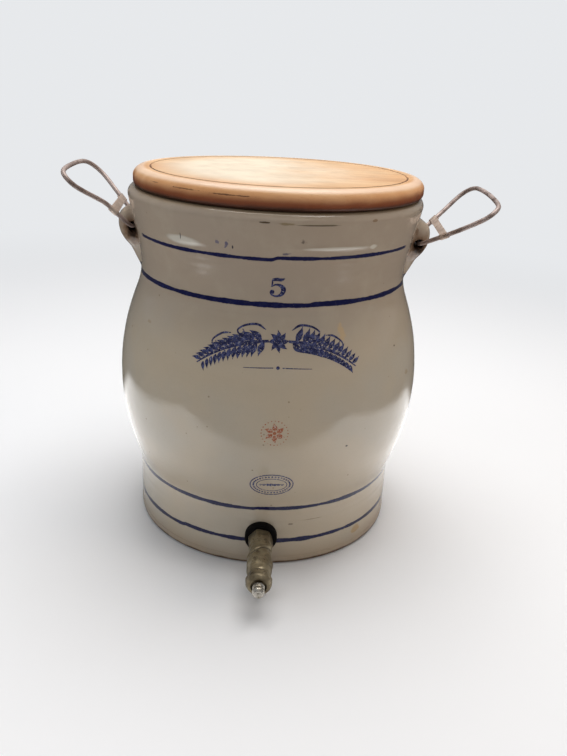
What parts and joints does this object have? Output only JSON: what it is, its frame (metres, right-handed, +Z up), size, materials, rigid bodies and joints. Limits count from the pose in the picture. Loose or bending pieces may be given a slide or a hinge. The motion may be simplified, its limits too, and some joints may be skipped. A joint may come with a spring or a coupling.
{
  "type": "stoneware water pot with tap",
  "caption": "Glazed stoneware water pot with a waisted collar, wooden lid, two swinging wire handles and a push-button tap at the foot.",
  "frame": {"origin": "centre of the pot's underside, on its axis", "axes": "+Z up along the pot's axis; -Y towards the tap, which is the front; +X to the right-hand handle seen from the front"},
  "size_m": [0.4223, 0.3899, 0.3732],
  "materials": {
    "glaze": "glossy",
    "lid_wood": "satin",
    "wire": "matte",
    "strap": "matte",
    "rubber": "matte",
    "brass": "satin",
    "tap_metal": "satin",
    "spring_steel": "satin",
    "button_metal": "glossy"
  },
  "bodies": {
    "pot": {"stoneware_pot": "glaze", "outer_rubber_washer": "rubber", "inner_rubber_washer": "rubber", "inner_brass_washer": "brass", "lock_nut": "brass", "tap_body": "tap_metal", "bonnet_gasket": "rubber", "bonnet_nut": "tap_metal", "stem_packing": "rubber", "return_spring": "spring_steel"},
    "lid": {"wooden_lid": "lid_wood"},
    "right_handle": {"right_handle_wire": "wire", "right_handle_strap": "strap"},
    "left_handle": {"left_handle_wire": "wire", "left_handle_strap": "strap"},
    "button": {"push_button": "button_metal", "valve_stem": "brass", "valve_washer": "rubber", "valve_retainer_nut": "brass", "spring_collar": "brass"}
  },
  "joints": [
    {"name": "lid_lift", "type": "slide", "parent": "pot", "child": "lid", "axis": [0, 0, 1], "range_m": [0, 0.15]},
    {"name": "right_handle_swing", "type": "hinge", "parent": "pot", "child": "right_handle", "pos_m": [0.147, 0, 0.307], "axis": [0, -1, 0], "range_deg": [-119, 26]},
    {"name": "left_handle_swing", "type": "hinge", "parent": "pot", "child": "left_handle", "pos_m": [-0.142, 0, 0.311], "axis": [0, 1, 0], "range_deg": [-117, 20]},
    {"name": "button_push", "type": "slide", "parent": "pot", "child": "button", "axis": [0, 1, 0], "range_m": [0, 0.0045], "stiffness_N_per_m": 500, "springref_m": -0.006, "deforming": ["return_spring"]}
  ]
}
